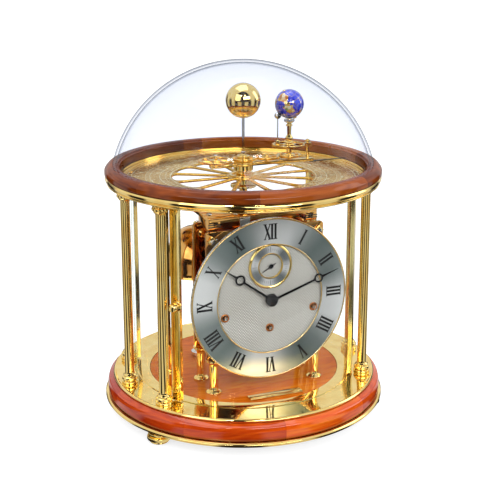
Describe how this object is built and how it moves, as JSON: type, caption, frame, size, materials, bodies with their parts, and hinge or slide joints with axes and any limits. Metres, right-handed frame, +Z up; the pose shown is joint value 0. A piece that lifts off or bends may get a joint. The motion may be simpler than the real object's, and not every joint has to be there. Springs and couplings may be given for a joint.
{
  "type": "orrery",
  "caption": "Round glazed table clock with a roman dial, hinged curved door and a geared sun, earth and moon model under a clear lift-off dome.",
  "frame": {"origin": "on the floor under the case's axis", "axes": "+Z up along the case's axis, -Y towards the dial, +X to the right of the dial"},
  "size_m": [0.244, 0.244, 0.302],
  "materials": {
    "brass": "mirror polished and gold lacquered",
    "gold": "mirror polished gold plate",
    "steel": "polished nickel",
    "cherry": "high gloss cherry veneer",
    "floor_veneer": "high gloss cherry root veneer",
    "silver": "spun silvered",
    "guilloche": "embossed basket weave, silver white",
    "black": "gloss black",
    "lapis": "polished blue globe",
    "moon_silver": "half silver, half black",
    "glass": "clear float glass",
    "acrylic": "clear blown acrylic"
  },
  "bodies": {
    "case": {"base_plate": "brass", "wood_plinth": "cherry", "base_ring": "brass", "floor_panel": "floor_veneer", "name_plate": "brass", "foot_1": "brass", "foot_2": "brass", "foot_3": "brass", "column_1": "brass", "column_2": "brass", "column_3": "brass", "column_4": "brass", "column_5": "brass", "column_6": "brass", "top_ring_brass": "brass", "top_ring_wood": "cherry", "calendar_plate": "brass", "glass_left": "glass", "glass_right": "glass", "glass_rear": "glass", "front_plate": "brass", "back_plate": "brass", "movement_leg_1": "brass", "movement_leg_2": "brass", "movement_leg_3": "brass", "movement_leg_4": "brass", "dial_plate": "guilloche", "chapter_ring": "silver", "selector_ring": "silver", "large_bell": "brass", "small_bell": "brass", "bell_post": "steel", "drive_bridge": "brass", "centre_wheel": "brass", "sun_rod": "steel", "sun": "gold"},
    "dome": {"dome": "acrylic"},
    "door": {"door_glass": "glass", "door_stile_left": "brass", "door_stile_right": "brass", "door_knob": "brass"},
    "minute_hand": {"minute_hand": "black"},
    "hour_hand": {"hour_hand": "black"},
    "selector_hand": {"selector_hand": "black"},
    "chime_barrel": {"chime_barrel": "brass"},
    "going_barrel": {"going_barrel": "brass"},
    "strike_barrel": {"strike_barrel": "brass"},
    "balance": {"balance_wheel": "brass"},
    "hammer": {"bell_hammer": "steel"},
    "arm": {"orrery_arm": "brass", "date_pointer": "black"},
    "idler": {"idler_wheel": "brass"},
    "left_wheel": {"left_wheel": "brass"},
    "earth_carrier": {"earth_wheel": "brass", "earth_stem": "brass"},
    "earth": {"earth_globe": "lapis"},
    "moon_carrier": {"moon_wheel": "brass", "moon_rod": "steel", "moon": "moon_silver"},
    "moon_pinion": {"moon_pinion": "brass"}
  },
  "joints": [
    {"name": "dome_lift", "type": "slide", "parent": "case", "child": "dome", "axis": [0, 0, 1], "range_m": [0, 0.12]},
    {"name": "door_swing", "type": "hinge", "parent": "case", "child": "door", "pos_m": [0.07894, -0.05285, 0.116], "axis": [0, 0, 1], "range_deg": [0, 70]},
    {"name": "minute_turn", "type": "hinge", "parent": "case", "child": "minute_hand", "pos_m": [0, -0.0646, 0.1122], "axis": [0, 1, 0], "continuous": true},
    {"name": "hour_turn", "type": "hinge", "parent": "case", "child": "hour_hand", "pos_m": [0, -0.0628, 0.1122], "axis": [0, 1, 0], "continuous": true},
    {"name": "selector_turn", "type": "hinge", "parent": "case", "child": "selector_hand", "pos_m": [0, -0.06175, 0.1405], "axis": [0, 1, 0], "range_deg": [-110, 110]},
    {"name": "chime_winding", "type": "hinge", "parent": "case", "child": "chime_barrel", "pos_m": [-0.0395, -0.035, 0.1002], "axis": [0, 1, 0], "continuous": true},
    {"name": "going_winding", "type": "hinge", "parent": "case", "child": "going_barrel", "pos_m": [0, -0.035, 0.0869], "axis": [0, 1, 0], "continuous": true},
    {"name": "strike_winding", "type": "hinge", "parent": "case", "child": "strike_barrel", "pos_m": [0.0395, -0.035, 0.1002], "axis": [0, 1, 0], "continuous": true},
    {"name": "balance_swing", "type": "hinge", "parent": "case", "child": "balance", "pos_m": [0.024, -0.0115, 0.15], "axis": [0, 1, 0], "range_deg": [-135, 135], "stiffness_Nm_per_rad": 0.00006},
    {"name": "hammer_swing", "type": "hinge", "parent": "case", "child": "hammer", "pos_m": [-0.03, -0.007, 0.092], "axis": [1, 0, 0], "range_deg": [-4, 12], "stiffness_Nm_per_rad": 0.02},
    {"name": "arm_turn", "type": "hinge", "parent": "case", "child": "arm", "pos_m": [0, 0, 0.2133], "axis": [0, 0, 1], "continuous": true},
    {"name": "idler_turn", "type": "hinge", "parent": "arm", "child": "idler", "pos_m": [0.0212, 0, 0.218], "axis": [0, 0, 1], "continuous": true},
    {"name": "left_wheel_turn", "type": "hinge", "parent": "arm", "child": "left_wheel", "pos_m": [-0.0248, 0, 0.218], "axis": [0, 0, 1], "continuous": true},
    {"name": "earth_carrier_turn", "type": "hinge", "parent": "arm", "child": "earth_carrier", "pos_m": [0.0424, 0, 0.218], "axis": [0, 0, 1], "continuous": true},
    {"name": "earth_spin", "type": "hinge", "parent": "earth_carrier", "child": "earth", "pos_m": [0.0424, 0, 0.2626], "axis": [-0.3987, 0, 0.9171], "continuous": true},
    {"name": "moon_turn", "type": "hinge", "parent": "arm", "child": "moon_carrier", "pos_m": [0.0424, 0, 0.227], "axis": [0, 0, 1], "continuous": true},
    {"name": "moon_pinion_turn", "type": "hinge", "parent": "arm", "child": "moon_pinion", "pos_m": [0.06, 0, 0.227], "axis": [0, 0, 1], "continuous": true}
  ],
  "couplings": [
    {"joint": "hour_turn", "follows": "minute_turn", "ratio": 0.083333},
    {"joint": "idler_turn", "follows": "arm_turn", "ratio": 0.96296},
    {"joint": "left_wheel_turn", "follows": "arm_turn", "ratio": 0.72222},
    {"joint": "earth_carrier_turn", "follows": "arm_turn", "ratio": -1},
    {"joint": "moon_turn", "follows": "arm_turn", "ratio": 12.37},
    {"joint": "moon_pinion_turn", "follows": "arm_turn", "ratio": -55.665}
  ]
}
